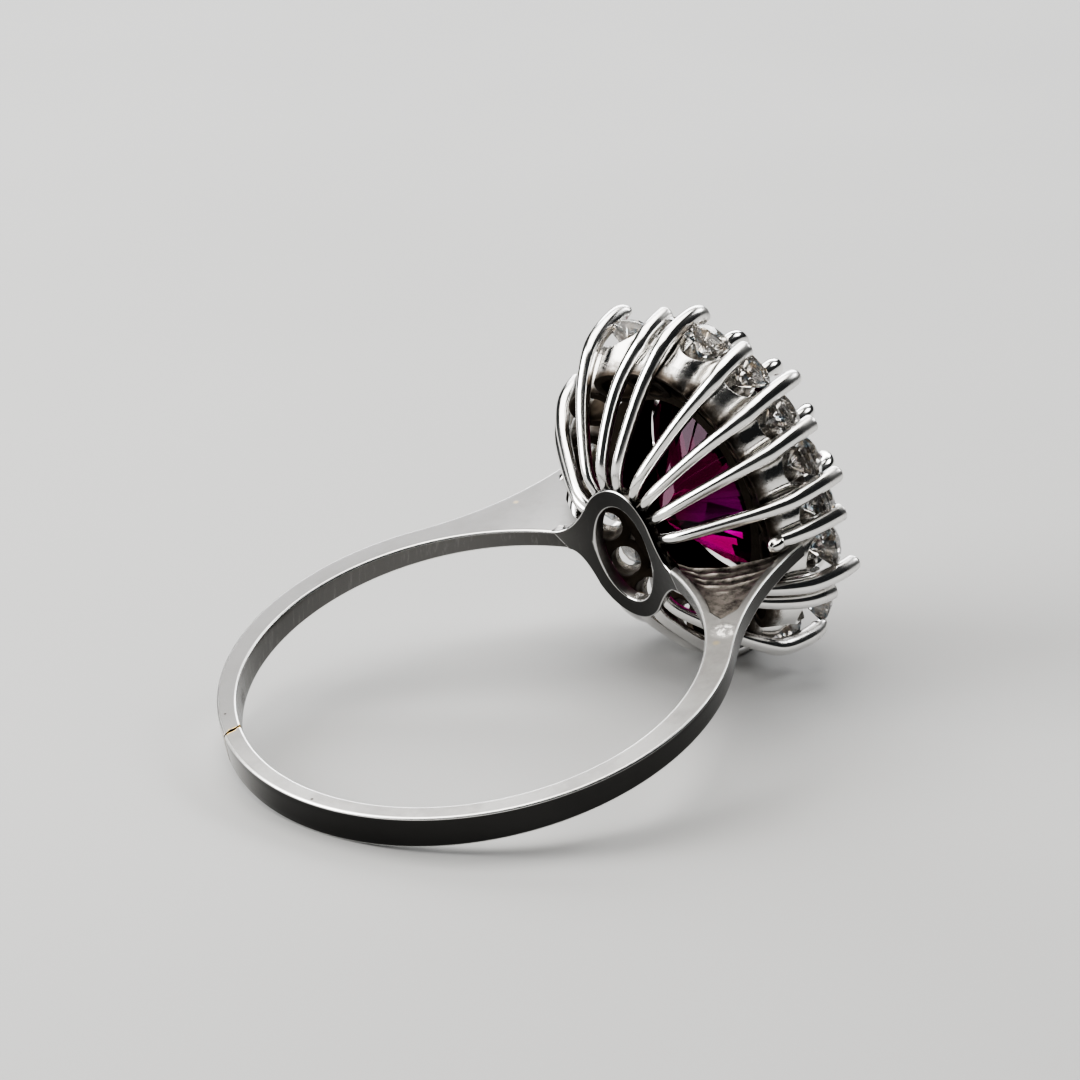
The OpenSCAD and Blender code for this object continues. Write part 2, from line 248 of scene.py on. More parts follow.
def band_metal():
    """Light satin on the flat sides and a polish on the curved faces, with fine scratches. Painted shade
    darkens the flat sides toward the far side, and painted reflections leave the polish near black on the
    near side and lighter on the far side, with a painted streaked sheen on the finger hole's side. The
    rounded edges carry a painted highlight, and the fork's hollow is dark with soot and painted shade. A
    seam crosses the back, with traces of yellow solder, and a few pits and faint stains have come with wear."""
    material, shader, place = new_material("band white metal")
    satin, scooped, hole_side, edge = (mark(place, title) for title in band_marks)
    grain = noise(place, 5200, 4.0, 0.65)
    fine = noise(place, 14000, 3.0, 0.7)
    hairs = noise(place, 1500, 6.0, 0.75, (1, 1, 7))
    wear = between(place, 0.42, 0.68, noise(place, 420, 4.0, 0.6))
    wobble = (noise(place, 2200, 2.0) - 0.5) * 0.3
    signed = from_plane(place, seam_middle, seam_across) + wobble
    away = place.node("ShaderNodeMath", {"operation": "ABSOLUTE"}, {0: signed})
    near = spot(place, seam_middle, 1.6, 0.2)
    seam = near * (1 - between(place, 0.035, 0.06, away))
    yellow = near * (1 - between(place, 0.07, 0.12, away)) * between(place, 0.4, 0.6, noise(place, 6000, 2.0))
    pits = spot(place, *first_pit) + spot(place, *second_pit)
    nick = spot(place, nick_middle, 0.42, 0.7) * between(place, 0.45, 0.6, fine)
    stain = (spot(place, *first_stain, 0.9) + spot(place, *second_stain, 0.9)) * 0.6
    lumpy = spot(place, solder_middle, 0.55, 0.6)

    # Painted light: the flat sides are painted darker toward the far side as shade, and the polish is painted
    # near black on the near side and lighter on the far side as reflections.
    far = between(place, 0.5, 6.5, from_plane(place, (0, 0, 0), (0, 1, 0)))
    flat_side_painted_shade = blend(place, far, (0.36, 0.354, 0.343, 1), (0.2, 0.196, 0.19, 1))
    polish = blend(place, far, (0.04, 0.0395, 0.039, 1), (0.34, 0.335, 0.325, 1))
    # Painted sheen: light streaks on the finger hole's side stand in for reflections.
    streaks = between(place, 0.5, 0.85, noise(place, 5200, 5.0, 0.75, (1, 1, 0.1)))
    sheen = blend(place, streaks, (0.11, 0.108, 0.106, 1), (0.3, 0.295, 0.285, 1))
    # The fork's hollow is dark with soot and partly with painted shade in the recess, mottled brown.
    grime = between(place, 0.3, 0.62, noise(place, 1700, 5.0, 0.7))
    soot_and_shade = blend(place, grime, (0.03, 0.025, 0.021, 1), (0.36, 0.33, 0.295, 1))
    worn, edge_highlight, solder = (0.18, 0.176, 0.169, 1), (0.88, 0.875, 0.86, 1), (0.95, 0.93, 0.9, 1)
    brown, gold = (0.50, 0.40, 0.24, 1), (0.80, 0.56, 0.20, 1)
    black, dark = (0.012, 0.009, 0.007, 1), (0.06, 0.05, 0.045, 1)
    colour = blend(place, wear * 0.5, flat_side_painted_shade, worn)
    # Painted highlight: the rounded edges are painted near white.
    colour = blend(place, edge, colour, edge_highlight)
    colour = blend(place, (1 - satin) * (1 - edge) * 0.95, colour, polish)
    colour = blend(place, hole_side * (1 - edge) * 0.7, colour, sheen)
    colour = blend(place, scooped * 0.92, colour, soot_and_shade)
    colour = blend(place, lumpy * between(place, 0.47, 0.6, grain), colour, solder)
    colour = blend(place, stain, colour, brown)
    colour = blend(place, yellow, colour, gold)
    colour = blend(place, seam, colour, black)
    colour = blend(place, pits, colour, dark)
    join(colour, shader.inputs["Base Color"])

    rough = 0.08 + satin * 0.24 + wear * 0.06 + scooped * 0.05 + grain * 0.08 + seam * 0.6 + nick * 0.3
    join(rough + lumpy * 0.12, shader.inputs["Roughness"])
    shader.inputs["Metallic"].default_value = 1.0
    height = grain * (0.2 + satin * 0.6) + hairs * (0.5 + hole_side * 0.9) - seam * 3 - pits * 2
    height = height + nick * 2.5 + lumpy * grain * 4 + (fine * 0.8 + grime * 1.5) * scooped
    metal_bump(place, height, 0.2, 0.00003, shader)
    return material


def band_edges(s):
    """The band's two rails in the plan for the near half, and the share of the shoulder that s has
    reached. s runs from 0 at the back to 1 at the shoulder's end. The inner rail keeps to the finger
    hole, and the outer rail follows the shank's circle and then the shoulder's hollow arc."""
    both_r = shank_r + shoulder_arc_r
    touch = np.arctan2(-shank_r * arc_y, shank_r * (arc_x - shank_shift) + shank_shift * both_r)
    shank_part = np.minimum(s / shank_share, 1)
    shoulder_part = np.maximum((s - shank_share) / (1 - shank_share), 0)
    angle = -np.pi + (np.pi + touch) * shank_part
    foot = -np.arcsin(web_foot_y / finger_r)
    inner_angle = angle + (foot - touch) * shoulder_part
    inner = finger_r * np.stack([np.cos(inner_angle), np.sin(inner_angle)], -1)
    reach = shank_shift * np.cos(angle) + np.sqrt(shank_r ** 2 - (shank_shift * np.sin(angle)) ** 2)
    outer = reach[:, None] * np.stack([np.cos(angle), np.sin(angle)], -1)
    start = np.arctan2(arc_y, -(arc_x - shank_shift))
    stop = np.arccos((shoulder_end - arc_x) / shoulder_arc_r)
    turn = start + (stop - start) * shoulder_part
    hollow = np.stack([arc_x + shoulder_arc_r * np.cos(turn), -arc_y + shoulder_arc_r * np.sin(turn)], -1)
    outer = np.where((s > shank_share)[:, None], hollow, outer)
    return inner, outer, shoulder_part


def along_line(corners, share):
    """Points at shares of the length of a line through corners."""
    corners = np.asarray(corners, float)
    run = np.concatenate([[0], np.cumsum(np.linalg.norm(np.diff(corners, axis=0), axis=1))])
    return np.stack([np.interp(share * run[-1], run, corners[:, i]) for i in range(2)], -1)


def band_plan(s, u):
    """Plan of the near half: u crosses from the inner rail to the outer one. On the shank the lines
    across are straight, and on the shoulder they pass gradually into the outline of its head side,
    as a surface stretched between its four edges."""
    inner, outer, shoulder_part = band_edges(s)
    inner, outer, part = inner[:, None], outer[:, None], shoulder_part[:, None, None]
    u = u[..., None]
    plain = (1 - u) * inner + u * outer
    foot, tip = band_edges(np.array([1.0]))[:2]
    corners = [tuple(foot[0])] + head_side + [tuple(tip[0])]
    end_line = along_line(corners, u[..., 0])
    end_plain = (1 - u) * foot[0] + u * tip[0]
    return plain + part ** 1.5 * (end_line - end_plain)


def from_rails(p):
    """How far points of the plan lie outside the finger hole and outside the shoulder's arc."""
    from_finger = np.hypot(p[..., 0], p[..., 1]) - finger_r
    from_arc = np.hypot(p[..., 0] - arc_x, p[..., 1] + arc_y) - shoulder_arc_r
    return from_finger, from_arc


def fork_edges(s):
    """Shares across the shoulder at which the floor of the fork meets its two strips. The shank has
    no fork, and keeps the plain share from each side."""
    u = np.broadcast_to(np.linspace(0, 1, share_steps), (len(s), share_steps))
    from_finger, from_arc = from_rails(band_plan(s, u))
    first = u[0, np.argmax(from_finger > fork_strip, axis=1)]
    last = u[0, share_steps - 1 - np.argmax((from_arc > fork_strip)[:, ::-1], axis=1)]
    plain = band_edges(s)[2] <= 0
    first = np.where(plain, plain_share, np.minimum(first, widest_share))
    last = np.where(plain, 1 - plain_share, np.maximum(last, 1 - widest_share))
    return first, last


def fork_hollow(p, part):
    """How much of the shoulder's thickness is cut away at points of the plan, from 0 on the strips to
    1 on the floor, and how far the floor dips toward its middle. The fork starts in a V, and rows of
    file cuts cross its wide end."""
    inside = np.minimum(*from_rails(p)) - fork_strip
    for (x0, y0), (x1, y1) in zip(fork_start, fork_start[1:]):
        past = (p[..., 0] - x0) * (y0 - y1) + (p[..., 1] - y0) * (x1 - x0)
        inside = np.minimum(inside, past / np.hypot(x1 - x0, y1 - y0) * start_slope)
    step = np.clip(inside / fork_wall + 0.5, 0, 1)
    scoop = step * step * (3 - 2 * step) * (part > 0)[:, None]
    cuts = 1 - np.abs(np.sin(part[:, None] * file_cuts * np.pi)) ** 0.7
    uneven = 0.675 + 0.325 * np.sin(p[..., 0] * 5.3 + p[..., 1] * 9.1)
    filed = file_depth * cuts * uneven * np.clip((part[:, None] - file_start) / file_fade, 0, 1)
    return scoop, (fork_dip - filed) * np.clip(inside / dip_reach, 0, 1)


def ramp(low, high, count):
    """Even steps from low to high, one row for each of their values."""
    return low[:, None] + (high - low)[:, None] * np.linspace(0, 1, count)[None]


def set_both_sides(values, low, high, setting):
    """Gives one setting to the columns from low to high, counted from each side of the section."""
    count = values.shape[1]
    values[:, low:high] = setting
    values[:, count - high:count - low] = setting
    return values


def band_half_loop(s, forked):
    """Half of the band's section at each s, from the middle of its inner face over one flat side to
    the middle of its outer face: heights over the ring's middle plane, with rounded edges and the
    fork's floor. Then come the numbers for the band's four marks."""
    first, last = fork_edges(s)
    inner, outer, part = band_edges(s)
    width = np.linalg.norm(outer - inner, axis=1)
    soft = edge_round / width
    wall = fork_wall / 2 / width
    turn = np.linspace(0, np.pi / 2, edge_steps)
    near = soft[:, None] * (1 - np.cos(turn))[None]
    face = np.zeros((len(s), face_rows))
    u = np.concatenate([
        face, near, ramp(soft, first - wall, 5)[:, 1:-1], ramp(first - wall, first + wall, 6),
        ramp(first + wall, last - wall, 20)[:, 1:-1], ramp(last - wall, last + wall, 6),
        ramp(last + wall, 1 - soft, 5)[:, 1:-1], 1 - near[:, ::-1], face + 1], axis=1)
    p = band_plan(s, u)
    half = band_half - band_taper * p[..., 0]
    drop = edge_round * (1 - np.sin(turn))
    edge_rows = face_rows + edge_steps
    height = half.copy()
    height[:, face_rows:edge_rows] -= drop
    height[:, -edge_rows:-face_rows] -= drop[::-1]
    height[:, [0, -1]] = 0
    height[:, [1, -2]] *= 0.5
    scoop = np.zeros_like(height)
    if forked:
        scoop, dip = fork_hollow(p, part)
        set_both_sides(scoop, 0, edge_rows, 0)
        height -= scoop * (half - fork_floor + dip)
    satin = set_both_sides(np.ones_like(height), 0, polished_rows, 0)
    hole_side = np.zeros_like(height)
    hole_side[:, :polished_rows] = 1
    # The edge mark places a painted highlight on the rounded edges.
    edge = set_both_sides(np.zeros_like(height), *highlight_rows, 1)
    return p, height, satin, scoop, hole_side, edge


def band_grids():
    """Both halves of the band. The second is the first after half a turn about the head's axis, so one
    shoulder is forked on its upper side and the other on its lower side."""
    shank, shoulder = np.linspace(0, shank_share, shank_steps), np.linspace(shank_share, 1, shoulder_steps)
    s = np.concatenate([shank, shoulder[1:]])
    grids, marks = [], {title: [] for title in band_marks}
    upper = band_half_loop(s, True)
    lower = band_half_loop(s, False)
    for turn in (1, -1):
        top = np.stack([upper[0][..., 0], turn * upper[0][..., 1], turn * upper[1]], -1)
        low = np.stack([lower[0][..., 0], turn * lower[0][..., 1], -turn * lower[1]], -1)
        loop = np.concatenate([top, low[:, -2:0:-1]], 1)
        end = np.stack([top[-1], low[-1]])
        grids += [(loop, False, True), (end, False, False)]
        for title, over, under in zip(band_marks, upper[2:], lower[2:]):
            marks[title] += [np.concatenate([over, under[:, -2:0:-1]], 1), np.stack([over[-1], under[-1]])]
    return grids, marks


band_material = band_metal()
grids, marks = band_grids()
metal_piece("band", grids, marks, band_material, sharp=42.0)


# The gallery plate: an oval piece bent to the finger hole's curve and soldered between the shoulders,
# with an oval hole sawn through it and corners drawn out along them. It carries the feet of the claws.
plate_t, plate_half_y, plate_half_z, hole_half_y, hole_half_z = 0.5, 1.95, 2.8, 1.35, 2.05
flare_plain, flare_forked, flare_start, flare_tip = 3.15, 2.6, 1.5, 0.36
plate_round, plate_proud = 0.06, 0.006
oval_steps, flare_steps, flat_steps = 18, 16, 8
hole_wall_darkening, top_face_darkening, finger_sheen, arris_highlight = 0.25, 0.6, 0.2, 0.9


def plate_outline():
    """Widths and heights round the plate, in four quarters: each follows the oval from its end to the
    place where a hollow corner leaves it and runs out along a shoulder."""
    turn = np.arcsin(flare_start / plate_half_y)
    steep = plate_half_z * np.cos(turn) - flare_tip
    bend = np.linspace(0, turn, oval_steps)[:-1]
    run = np.linspace(0, 1, flare_steps)
    z = np.concatenate([plate_half_z * np.cos(bend), flare_tip + steep * (1 - run) ** 2])
    quarters = []
    for end, side_y, side_z in (
            (flare_plain, 1, 1), (flare_forked, 1, -1), (flare_plain, -1, -1), (flare_forked, -1, 1)):
        y = np.concatenate([plate_half_y * np.sin(bend), flare_start + (end - flare_start) * run])
        quarter = np.stack([side_y * y, side_z * z], -1)
        quarters.append(quarter if side_y == side_z else quarter[:0:-1])
    return np.concatenate(quarters)


def plate_grid():
    """A closed loop of widths and heights, with rounded corners, carried round the outline. The width
    runs from the hole's edge to the plate's edge, and the height is the distance from the finger's axis."""
    turn = np.linspace(0, np.pi / 2, 4)
    corner_w, corner_h = plate_round * (1 - np.cos(turn)), plate_round * (1 - np.sin(turn))
    wide = plate_half_y - hole_half_y
    flat = np.linspace(0.15, 0.85, flat_steps) * wide
    top_w = np.concatenate([corner_w, flat, wide - corner_w[::-1]])
    top_h = plate_t - np.concatenate([corner_h, flat * 0, corner_h[::-1]])
    loop_w = np.concatenate([top_w, top_w[::-1]]) / wide
    loop_h = finger_r - plate_proud + np.concatenate([top_h, plate_t - top_h[::-1]])
    outline = plate_outline()[::-1]
    angle = np.arctan2(outline[:, 1] / plate_half_z, outline[:, 0] / plate_half_y)
    across = hole_half_y * np.cos(angle)[:, None] * (1 - loop_w) + outline[:, :1] * loop_w
    along = hole_half_z * np.sin(angle)[:, None] * (1 - loop_w) + outline[:, 1:] * loop_w
    x = np.sqrt(loop_h[None] ** 2 - across ** 2)
    rows = top_w.size
    # The arris rows carry a painted highlight along the plate's edges.
    arris = np.zeros(2 * rows)
    arris[[rows + 1, rows + 2, 2 * rows - 3, 2 * rows - 2]] = arris_highlight
    wall = (loop_w < 0.01) * 1.0
    high = (loop_h - finger_r) / plate_t
    # The plate is darkened, like the fork's hollow, on the hole's wall and more toward its top face.
    darkening = np.where(wall > 0, hole_wall_darkening, high * top_face_darkening)
    # The finger side gets a painted sheen, as the band's finger hole does.
    numbers = (wall, darkening, (1 - high) * (1 - wall) * finger_sheen, arris)
    marks = {title: [np.broadcast_to(n, x.shape)] for title, n in zip(band_marks, numbers)}
    return np.stack([x, across, along], -1), marks


grid, marks = plate_grid()
metal_piece("gallery_plate", [(grid, True, True)], marks, band_material)


# The outer claws: twenty round wires soldered to the plate and the shoulders. They fan out to the rim
# of the head, stand up between the diamonds and are pressed in over them with rounded or cut ends.
head_shift = 0.35
# Angles at the plate and at the tip, first and last station, how far it is pressed in, length of its end.
CLAWS = np.array([
    (67, 82, 0, 4.7, 0.8, 0.2), (88.5, 92.2, 0, 5.6, 0.8, 0.2), (111, 118, 0, 4.7, 0.1, 0.2),
    (126, 134, 0, 5.5, 0.1, 0.2), (142.5, 148, 0, 4.8, 0.1, 0.05), (162, 165.2, 0, 5, 0.2, 0.2),
    (179, 176, 3, 4.7, 0, 0.08), (198.5, 196.5, 0, 5.2, 0.1, 0.2), (206.5, 203, 0, 4.5, 0.1, 0.2),
    (229, 232.7, 0, 5.5, 0.2, 0.2)])
# Distance along the head's axis, half width and half length of the oval there, radius of the wire.
CLAW_STATIONS = np.array([
    (8.8, 1.8, 2.38, 0.2), (9, 2.67, 3.4, 0.23), (10.25, 4.38, 5.17, 0.26), (11.3, 5.45, 6.42, 0.3),
    (12.4, 6.08, 7.33, 0.34), (14.1, 6.42, 7.65, 0.33), (14.4, 5.9, 7.06, 0.28)])
claw_turn_share = 0.6
wire_sides, wire_steps, tip_steps = 20, 56, 8
blob_drop, blob_radii, blob_share = np.array([0.12, -0.12, 0.1]), np.array([0.5, 0.34, 0.34]), 0.6


def through(table, t):
    """A smooth curve through a table's rows, at t rows from the first."""
    last = len(table) - 1
    i = np.floor(t).astype(int)
    f = (t - i)[:, None]
    a, b, c, d = (table[np.clip(i + k, 0, last)] for k in (-1, 0, 1, 2))
    cube, square = 3 * b - a - 3 * c + d, 2 * a - 5 * b + 4 * c - d
    return 0.5 * (2 * b + (c - a) * f + square * f ** 2 + cube * f ** 3)


def on_head(points, turn):
    """Places a shape on the head: as it is for the first half, or with turn -1 after half a turn about
    the head's axis for the second, and then moved by the head's shift."""
    return points * np.array([1, turn, turn]) + np.array([0, 0, head_shift])


def wire_grid(path, radius, tip):
    """A round wire along a path of points, with a rounded end: over the tip's length its radius falls
    as a quarter of an oval does, and each end closes in a point. With it come how far each point faces
    the head's axis, and its share of the way along."""
    step = np.linalg.norm(np.diff(path, axis=0), axis=1)
    run = np.concatenate([[0], np.cumsum(step)])
    cap = tip * np.sin(np.linspace(0, np.pi / 2, tip_steps))
    where = np.concatenate([[0], np.linspace(0, run[-1] - tip, wire_steps), run[-1] - tip + cap[1:]])
    centre = np.stack([np.interp(where, run, path[:, i]) for i in range(3)], -1)
    size = np.interp(where, run, radius)
    past = np.clip((where - run[-1] + tip) / tip, 0, 1)
    size = size * np.sqrt(np.maximum(1 - past ** 2, 0))
    size[0] = 0
    along = np.gradient(centre[1:], axis=0)
    along = np.concatenate([along[:1], along])
    along /= np.linalg.norm(along, axis=1, keepdims=True)
    side = np.cross([1.0, 0, 0], centre * [0, 1, 1])
    side -= (side * along).sum(-1, keepdims=True) * along
    side /= np.linalg.norm(side, axis=1, keepdims=True)
    out = np.cross(side, along)
    angle = np.linspace(2 * np.pi, 0, wire_sides, endpoint=False)
    ring = np.cos(angle)[None, :, None] * side[:, None] + np.sin(angle)[None, :, None] * out[:, None]
    grid = centre[:, None] + size[:, None, None] * ring
    facing_in = np.broadcast_to(-np.sin(angle), grid.shape[:2])
    share = np.broadcast_to((where / run[-1])[:, None], grid.shape[:2])
    return grid, facing_in, share


def both_halves(wires):
    """Grids and marks of wires on both halves of the head, each from its path, radius and tip."""
    grids, marks = [], {"inward": [], "share": []}
    for turn in (1, -1):
        for path, radius, tip in wires:
            grid, facing, part = wire_grid(path, radius, tip)
            grids.append((on_head(grid, turn), False, True))
            marks["inward"].append(facing)
            marks["share"].append(part)
    return grids, marks


def claw_wire(claw):
    """Path, radius and tip of a claw: the ovals of the stations, entered at an angle that turns on the
    way up and drawn in toward the head's axis by the claw's own amount."""
    t = np.linspace(claw[2], claw[3], 80)
    station = through(CLAW_STATIONS, t)
    share = t / (len(CLAW_STATIONS) - 1)
    angle = np.radians(claw[0] + (claw[1] - claw[0]) * np.minimum(1, share / claw_turn_share))
    pressed = claw[4] * share ** 2
    path = np.stack([station[:, 0], (station[:, 1] - pressed) * np.cos(angle),
                     (station[:, 2] - pressed) * np.sin(angle)], -1)
    return path, station[:, 3], claw[5]


def claw_metal():
    """A polish on the outer side of the wires, and rough brown tarnish with painted shade toward their inner
    side and their feet, while the tips are left light as painted light.
    """
    material, shader, place = new_material("claw white metal")
    inward, share = mark(place, "inward"), mark(place, "share")
    spots = noise(place, 5200, 4.0, 0.7)
    clouds = noise(place, 700, 3.0, 0.6)
    # Brown tarnish with painted shade: darker on the side of each wire that faces the head's axis and toward
    # the feet, deep in the head; the tips are left light as painted light.
    darkening = between(place, 0.45, 0.8, inward * 0.45 + clouds * 0.35 + spots * 0.45 - 0.05)
    low = 1 - between(place, 0.12, 0.5, share)
    tip = between(place, 0.86, 0.95, share)
    darkening = darkening * (0.6 + low * 0.4) * (1 - tip)
    colour = blend(place, clouds * 0.5, (0.93, 0.92, 0.90, 1), (0.78, 0.77, 0.75, 1))
    colour = blend(place, darkening, colour, (0.12, 0.09, 0.065, 1))
    join(colour, shader.inputs["Base Color"])
    join(0.14 + darkening * 0.35 + clouds * 0.1 + tip * 0.16, shader.inputs["Roughness"])
    shader.inputs["Metallic"].default_value = 1.0
    metal_bump(place, spots * (0.2 + darkening * 1.2) + clouds * 0.5, 0.2, 0.00004, shader)
    return material


def solder_blob(middle, radii):
    """An uneven oval lump: a ball's rings of points, stretched by three radii and dented by waves."""
    up = np.linspace(-np.pi / 2, np.pi / 2, 17)[:, None]
    around = np.linspace(0, 2 * np.pi, 28, endpoint=False)[None]
    dent = 1 + 0.08 * np.cos(up) * np.sin(3 * around + 2 * up) + 0.05 * np.cos(up) * np.cos(5 * around)
    ball = np.stack([np.sin(up) + 0 * around, np.cos(up) * np.cos(around), np.cos(up) * np.sin(around)], -1)
    return middle + ball * dent[..., None] * radii


claw_material = claw_metal()
wires = [claw_wire(claw) for claw in CLAWS]
grids, marks = both_halves(wires)
blob_middles = [wire[0][0] - blob_drop for wire, claw in zip(wires, CLAWS) if claw[2] > 0]
for turn in (1, -1):
    for middle in blob_middles:
        blob = solder_blob(middle, blob_radii)
        grids.append((on_head(blob, turn), False, True))
        marks["inward"].append(np.zeros(blob.shape[:2]))
        marks["share"].append(np.full(blob.shape[:2], blob_share))
metal_piece("outer_claws", grids, marks, claw_material)


# The collets: a short tube soldered under each diamond, with its rim filed hollow on the outer side
# so that the stone shows between the claws.
diamond_x, diamond_half_y, diamond_half_z, diamond_lean = 13.6, 5.6, 6.9, np.radians(32)
collet_r, collet_bore_r, collet_h, collet_drop, collet_round = 0.95, 0.6, 2.0, 0.45, 0.05
scallop_depth, scallop_r = 0.75, 0.9
# Angle on the diamonds' oval, and how far the diamond is set inside it.
DIAMOND_SPOTS = np.array([
    (83.2, 0.4), (103.6, 0.15), (123.5, 0), (141, 0), (157.4, 0), (173.4, 0), (189.4, 0), (214, 0),
    (239, 0.3)])


def on_oval(points, seat):
    """Stands a shape drawn up z on one diamond's seat: its height becomes the head's axis, it leans
    outward, and it turns to face away from the oval."""
    angle, inset = np.radians(seat[0]), seat[1]
    across, along = diamond_half_y - inset, diamond_half_z - inset
    heading = np.arctan2(np.sin(angle) / along, np.cos(angle) / across)
    x, y, z = np.moveaxis(points, -1, 0)
    x, y, z = z, x, y
    cl, sl = np.cos(diamond_lean), np.sin(diamond_lean)
    x, y = cl * x - sl * y, sl * x + cl * y
    ch, sh = np.cos(heading), np.sin(heading)
    y, z = ch * y - sh * z, sh * y + ch * z
    return np.stack([x + diamond_x, y + across * np.cos(angle), z + along * np.sin(angle)], -1)


def collet_grid():
    """A closed loop of radii and heights carried round the tube. The rim's height falls in a round
    hollow on the outer side, deepest at the middle. With it come the marks of the inside and of the
    height from foot to rim."""
    turn = np.linspace(0, np.pi / 2, 4)
    bend_r, bend_h = collet_round * (1 - np.cos(turn)), collet_round * (1 - np.sin(turn))
    edge_r = np.concatenate([collet_bore_r + bend_r, collet_r - bend_r[::-1]])
    rim_drop = np.concatenate([bend_h, bend_h[::-1]])
    level = np.linspace(0, 1, 7)[1:-1]
    angle = np.linspace(0, 2 * np.pi, 72, endpoint=False)[:, None]
    inner, outer = np.full(level.shape, collet_bore_r), np.full(level.shape, collet_r)
    radius = np.concatenate([edge_r, outer, edge_r[::-1], inner])
    top = np.concatenate([np.ones(edge_r.size), 1 - level, np.zeros(edge_r.size), level])
    trim = np.concatenate([-rim_drop, level * 0, rim_drop, level * 0])
    sideways = radius * np.sin(angle)
    cut = scallop_r - scallop_depth - np.sqrt(np.maximum(scallop_r ** 2 - sideways ** 2, 0))
    hollow = np.where((np.cos(angle) > 0) & (abs(sideways) < scallop_r), np.minimum(cut, 0), 0)
    rim = -collet_drop + hollow
    foot = -collet_drop - collet_h
    height = foot + (rim - foot) * top + trim
    grid = np.stack([radius * np.cos(angle), sideways, height], -1)
    # The outer face where it turns toward the head's axis counts as inside too, so it takes the painted shade
    # of the bores.
    inside = np.where(radius < (collet_r + collet_bore_r) / 2, 1.0, np.clip(-1.5 * np.cos(angle), 0, 1))
    return grid, inside, np.broadcast_to(top, grid.shape[:2])


def collet_metal():
    """Bright satin with fine scratches outside. Inside the tubes, on their side toward the head's axis and
    toward their feet they are darker, with tarnish and painted shade, and near black as painted shade at the
    very foot.
    """
    material, shader, place = new_material("collet white metal")
    bore, high = mark(place, "bore"), mark(place, "high")
    clouds = noise(place, 900, 4.0, 0.6)
    hairs = noise(place, 2500, 5.0, 0.7, (1, 5, 1))
    blots = noise(place, 2600, 4.0, 0.7)
    low = between(place, 0.75, 0.1, high)
    # Tarnish and painted shade grow in the bores and toward the feet.
    tarnish_and_shade_level = bore * (0.25 + low * 0.3) + blots * 0.55 + low * 0.45 + clouds * 0.3 - 0.12
    darkening = between(place, 0.42, 0.8, tarnish_and_shade_level)
    shaded = between(place, 0.35, 1.0, high, 0.85, 0.1)
    foot_shade = 1 - between(place, 0.04, 0.22, high)
    colour = blend(place, clouds * 0.5, (0.92, 0.91, 0.89, 1), (0.72, 0.70, 0.67, 1))
    # Painted shade: the bores turn brown, more so further down.
    colour = blend(place, bore * shaded, colour, (0.24, 0.21, 0.17, 1))
    colour = blend(place, darkening * 0.92, colour, (0.085, 0.065, 0.048, 1))
    # Painted shade: near black at the very foot.
    colour = blend(place, foot_shade * 0.85, colour, (0.04, 0.032, 0.025, 1))
    join(colour, shader.inputs["Base Color"])
    join(0.05 + darkening * 0.35 + between(place, 0.42, 0.6, clouds) * 0.2, shader.inputs["Roughness"])
    shader.inputs["Metallic"].default_value = 1.0
    metal_bump(place, hairs * 0.6 + clouds * 1.5 + blots * darkening, 0.3, 0.00006, shader)
    return material


collet_material = collet_metal()
tube, bore, high = collet_grid()
grids = [(on_head(on_oval(tube, seat), turn), True, True) for turn in (1, -1) for seat in DIAMOND_SPOTS]
marks = {"bore": [bore] * len(grids), "high": [high] * len(grids)}
metal_piece("diamond_collets", grids, marks, collet_material)


# The ruby's collet: a tapered oval band soldered inside the ring of diamond collets, with fourteen
# short inner claws that stand up over the ruby's edge.
ruby_half_y, ruby_half_z, ruby_x = 3.95, 5.1, 14.85
ruby_collet_wall, ruby_collet_shade = 0.42, 0.2
# Height over the girdle, and how far the outer face stands outside it.
RUBY_COLLET = [(-2.9, -0.3), (-0.75, -0.2)]
INNER_CLAWS = [98, 122, 147, 171, 197, 224, 251]
inner_tip = 0.2
# Height over the girdle, distance outside it, radius of the wire.
INNER_STATIONS = np.array([
    (-2.4, -0.55, 0.26), (-1.3, 0.02, 0.26), (-0.1, 0.34, 0.28), (0.6, 0.32, 0.3), (0.98, -0.03, 0.28),
    (1.04, -0.4, 0.24)])


def ruby_collet_grid():
    """A closed four-sided loop carried round the oval, with the marks of its inside and its height."""
    (low, low_out), (high, high_out) = RUBY_COLLET
    rise = np.linspace(0, 1, 6)
    outer = low_out + (high_out - low_out) * rise
    out = np.concatenate([outer, outer[::-1] - ruby_collet_wall])
    up = np.concatenate([rise, rise[::-1]])
    angle = np.linspace(2 * np.pi, 0, 120, endpoint=False)[:, None]
    grid = np.stack([ruby_x + low + (high - low) * up + angle * 0, (ruby_half_y + out) * np.cos(angle),
                     (ruby_half_z + out) * np.sin(angle)], -1)
    # Both faces count as inside and the heights are kept low, so the material paints the whole collet dark as
    # shade.
    inside = np.concatenate([rise * 0 + 0.8, rise * 0 + 1])
    dark_up = up * ruby_collet_shade
    return grid, {"bore": [np.broadcast_to(inside, grid.shape[:2])],
                  "high": [np.broadcast_to(dark_up, grid.shape[:2])]}


def inner_wire(angle):
    """Path, radius and tip of an inner claw: it stands outside the ruby's girdle and ends over its
    crown."""
    station = through(INNER_STATIONS, np.linspace(0, len(INNER_STATIONS) - 1, 70))
    a = np.radians(angle)
    path = np.stack([ruby_x + station[:, 0], (ruby_half_y + station[:, 1]) * np.cos(a),
                     (ruby_half_z + station[:, 1]) * np.sin(a)], -1)
    return path, station[:, 2], inner_tip


grid, marks = ruby_collet_grid()
metal_piece("ruby_collet", [(on_head(grid, 1), True, True)], marks, collet_material)
grids, marks = both_halves([inner_wire(angle) for angle in INNER_CLAWS])
metal_piece("inner_claws", grids, marks, claw_material)


